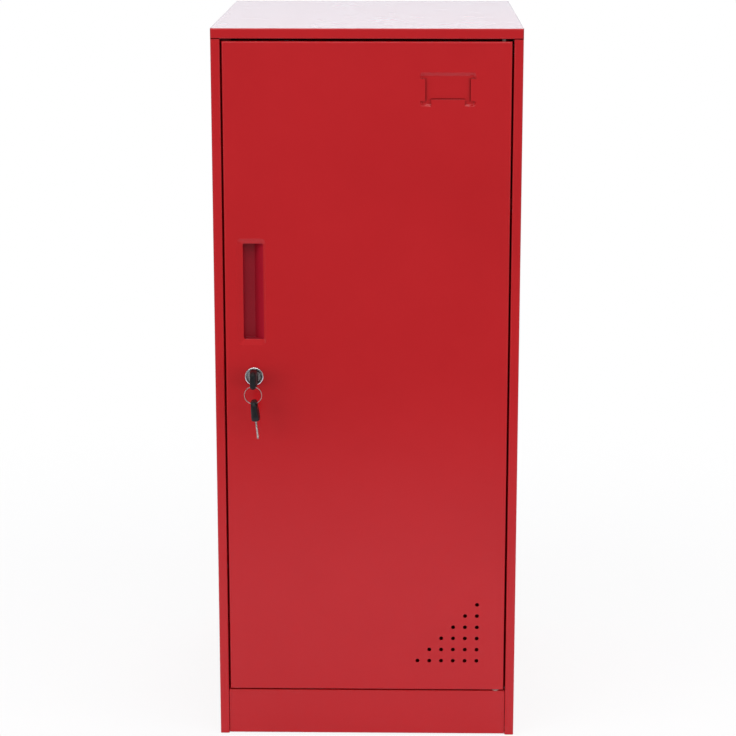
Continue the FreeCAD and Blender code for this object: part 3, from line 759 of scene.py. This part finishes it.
def make_floor():
    """Pale floor that keeps the shadow and fades into the white surround."""
    bm = bmesh.new()
    bmesh.ops.create_circle(bm, cap_ends=True, radius=FLOOR_RADIUS, segments=128)
    for v in bm.verts:
        v.co.y += FLOOR_MIDDLE
        v.co.z = -FLOOR_DROP
    floor = to_object("floor", bm)
    material = bpy.data.materials.new("pale_floor")
    tree = empty_tree(material)
    output = add(tree, "ShaderNodeOutputMaterial")
    coords = add(tree, "ShaderNodeTexCoord").outputs["Object"]
    length = add(tree, "ShaderNodeVectorMath", operation="LENGTH")
    tree.links.new(coords, length.inputs[0])
    away = length.outputs["Value"]
    path = add(tree, "ShaderNodeLightPath").outputs
    direct = seen_directly(tree, path)
    seen = remap(tree, away, SEEN_FADE, SEEN_CLEAR, smooth=True)
    fade = math_node(tree, "MAXIMUM", remap(tree, away, FLOOR_FADE, UNIT, smooth=True),
                     math_node(tree, "MULTIPLY", direct, seen))
    grain = remap(tree, noise(tree, coords, scale=30.0, detail=4.0), MOST_NOISE, UNIT)
    pale = mix_colour(tree, grain, FLOOR_DARK, FLOOR_LIGHT)
    bounce = mix_colour(tree, remap(tree, away, BOUNCE_FADE, UNIT), BOUNCE_NEAR, BOUNCE_FAR)
    colour = mix_colour(tree, direct, bounce, pale)
    colour = mix_colour(tree, path["Is Glossy Ray"], colour, FLOOR_MIRRORED)
    diffuse = add(tree, "ShaderNodeBsdfDiffuse")
    tree.links.new(colour, diffuse.inputs["Color"])
    clear = add(tree, "ShaderNodeBsdfTransparent")
    faded = mix_shaders(tree, fade, diffuse.outputs["BSDF"], clear.outputs["BSDF"])
    tree.links.new(faded, output.inputs["Surface"])
    floor.data.materials.append(material)


# Surround: white to the camera, and in reflections a dim room with a white back and white walls at the front sides
WHITE = (1, 1, 1)
AMBIENT = 0.45
BACK_FROM, BACK_LEVEL = (0.0, 0.7), (0.2, 1.0)
BACK_TINT = (0.86, 1.03, 1.11)
WALL_ASIDE = (0.74, 0.84)
WALL_END, WALL_LEVEL = (-0.36, -0.26), (0.95, 0)


def make_world():
    world = bpy.data.worlds.new("studio")
    scene.world = world
    tree = empty_tree(world)
    output = add(tree, "ShaderNodeOutputWorld")
    path = add(tree, "ShaderNodeLightPath").outputs
    ambient = fill(add(tree, "ShaderNodeBackground"), Color=(*WHITE, 1), Strength=AMBIENT)
    seen = fill(add(tree, "ShaderNodeBackground"), Color=(*WHITE, 1))
    mirrored = add(tree, "ShaderNodeBackground")
    direction = split_axes(tree, add(tree, "ShaderNodeTexCoord").outputs["Generated"])
    aside = math_node(tree, "ABSOLUTE", direction["X"])
    walls = math_node(tree, "MULTIPLY", remap(tree, aside, WALL_ASIDE, UNIT, smooth=True),
                      remap(tree, direction["Y"], WALL_END, WALL_LEVEL, smooth=True))
    back = remap(tree, direction["Y"], BACK_FROM, BACK_LEVEL, smooth=True)
    tree.links.new(math_node(tree, "MAXIMUM", walls, back), mirrored.inputs["Strength"])
    behind = remap(tree, direction["Y"], BACK_FROM, UNIT, smooth=True)
    tree.links.new(mix_colour(tree, behind, WHITE, BACK_TINT), mirrored.inputs["Color"])
    lit = mix_shaders(tree, path["Is Glossy Ray"], ambient.outputs["Background"], mirrored.outputs["Background"])
    shown = mix_shaders(tree, seen_directly(tree, path), lit, seen.outputs["Background"])
    tree.links.new(shown, output.inputs["Surface"])


def area_light(name, place, target, size, power, mirrored=True):
    light = bpy.data.lights.new(name, "AREA")
    light.shape = "RECTANGLE"
    light.size, light.size_y = size
    light.energy = power
    obj = bpy.data.objects.new(name, light)
    obj.location = place
    obj.rotation_euler = (Vector(target) - Vector(place)).to_track_quat("-Z", "Y").to_euler()
    obj.visible_camera = False
    obj.visible_glossy = mirrored
    scene.collection.objects.link(obj)


make_floor()
make_world()
area_light("key", place=(-0.5, -4.0, 4.05), target=(0, -0.4, 0.5), size=(8.0, 2.6), power=112)
for light_name, light_x in (("left side", -2.7), ("right side", 2.7)):
    area_light(light_name, place=(light_x, -2.0, 0.85), target=(0, -0.4, 0.45), size=(2.4, 2.2), power=35,
               mirrored=False)
area_light("overhead", place=(0.1, -0.66, 2.6), target=(0.1, -0.6, 0.5), size=(1.8, 0.3), power=8)
area_light("back", place=(0.4, 2.4, 2.3), target=(0, -0.2, 0.5), size=(2.4, 1.6), power=30)
